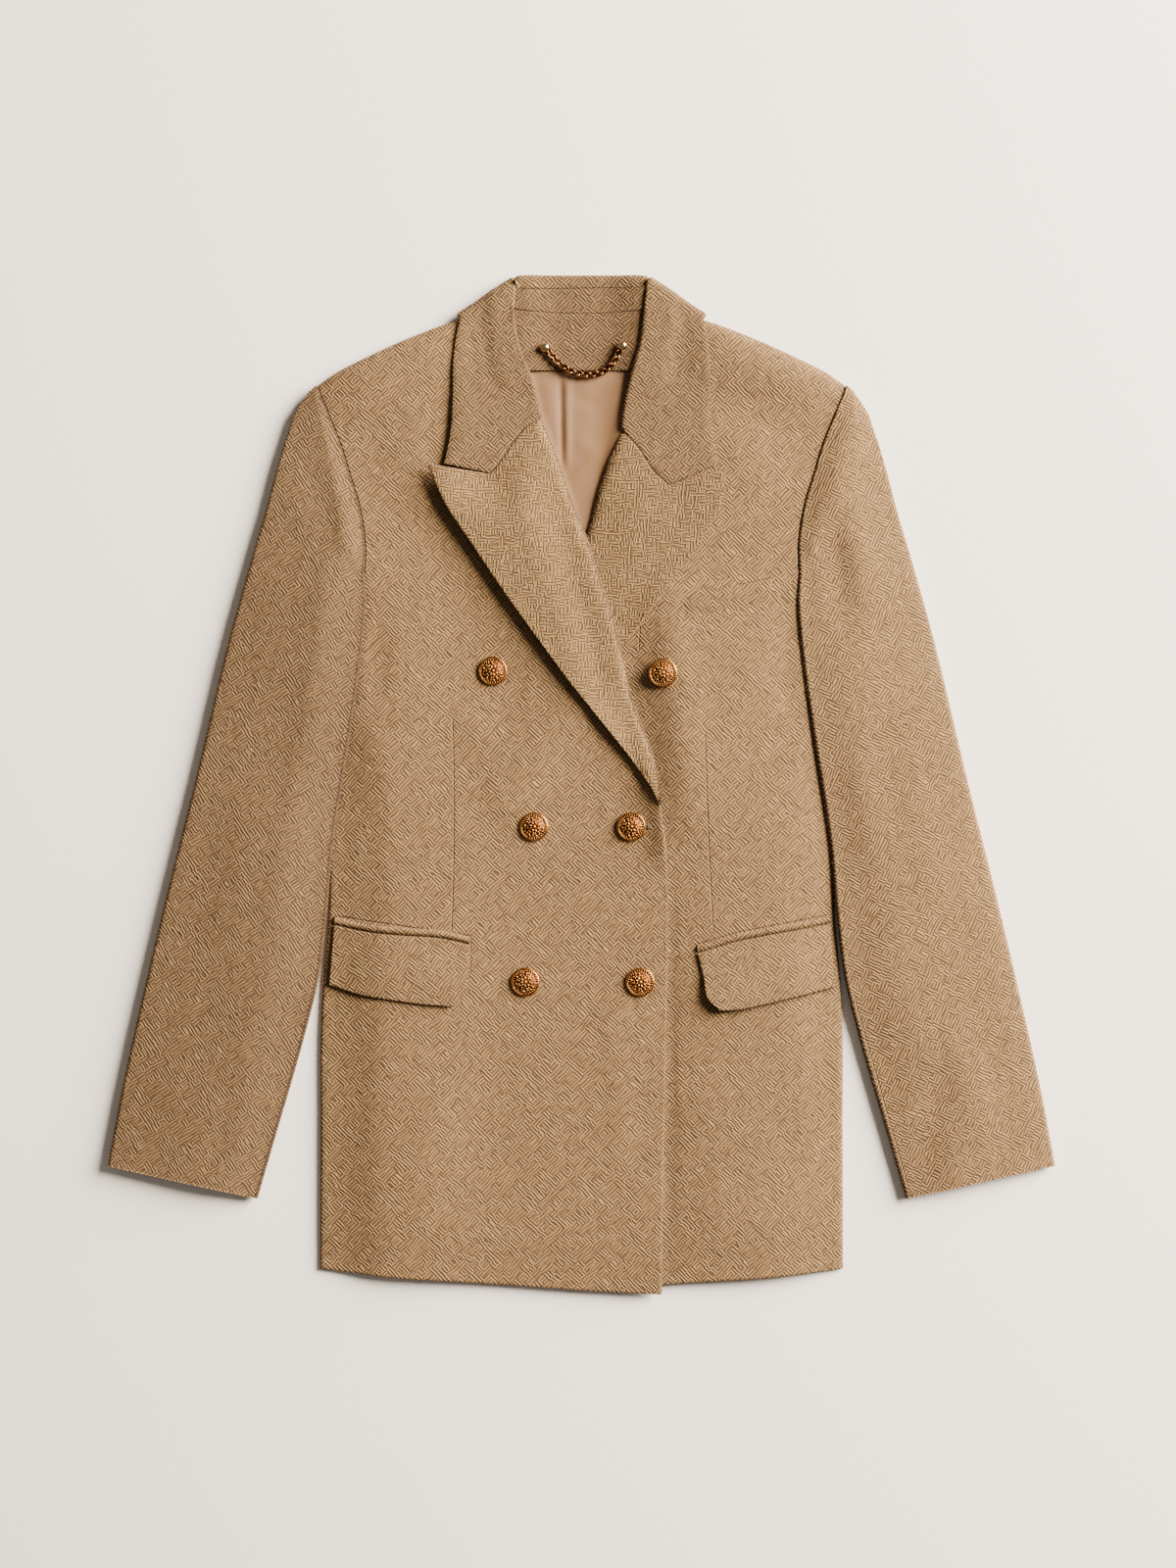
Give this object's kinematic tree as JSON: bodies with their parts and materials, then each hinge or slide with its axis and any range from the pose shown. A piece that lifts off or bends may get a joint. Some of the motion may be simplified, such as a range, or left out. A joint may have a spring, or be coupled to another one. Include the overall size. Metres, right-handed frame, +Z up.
{
  "type": "double breasted blazer",
  "caption": "Lined double breasted blazer laid flat on its back, with peak lapels, a turned-down collar, flapped hip pockets, a chest welt, domed metal buttons and a neck chain.",
  "frame": {"origin": "middle of the garment's length and width as it lies, on the surface it lies on", "axes": "+X towards the wearer's left, +Y from the hem to the collar, +Z up out of the garment's front"},
  "size_m": [0.7718, 0.8306, 0.0171],
  "materials": {
    "coating": "matte basket weave in tan over brown",
    "satin": "soft satin lining",
    "antique_gold": "antique gold, polished on the raised parts"
  },
  "bodies": {
    "root": {"back_left": "coating", "back_right": "coating", "front_left": "coating", "front_right": "coating", "lapel_left": "coating", "lapel_right": "coating", "collar": "coating", "collar_stand": "coating", "neck_facing": "coating", "top_sleeve_left": "coating", "top_sleeve_right": "coating", "under_sleeve_left": "coating", "under_sleeve_right": "coating", "jet_left": "coating", "jet_right": "coating", "flap_left": "coating", "flap_right": "coating", "chest_welt": "coating", "lining_back": "satin", "button_1": "antique_gold", "button_2": "antique_gold", "button_3": "antique_gold", "button_4": "antique_gold", "button_5": "antique_gold", "button_6": "antique_gold", "hanger_chain": "antique_gold", "chain_stud_left": "antique_gold", "chain_stud_right": "antique_gold"}
  },
  "joints": []
}
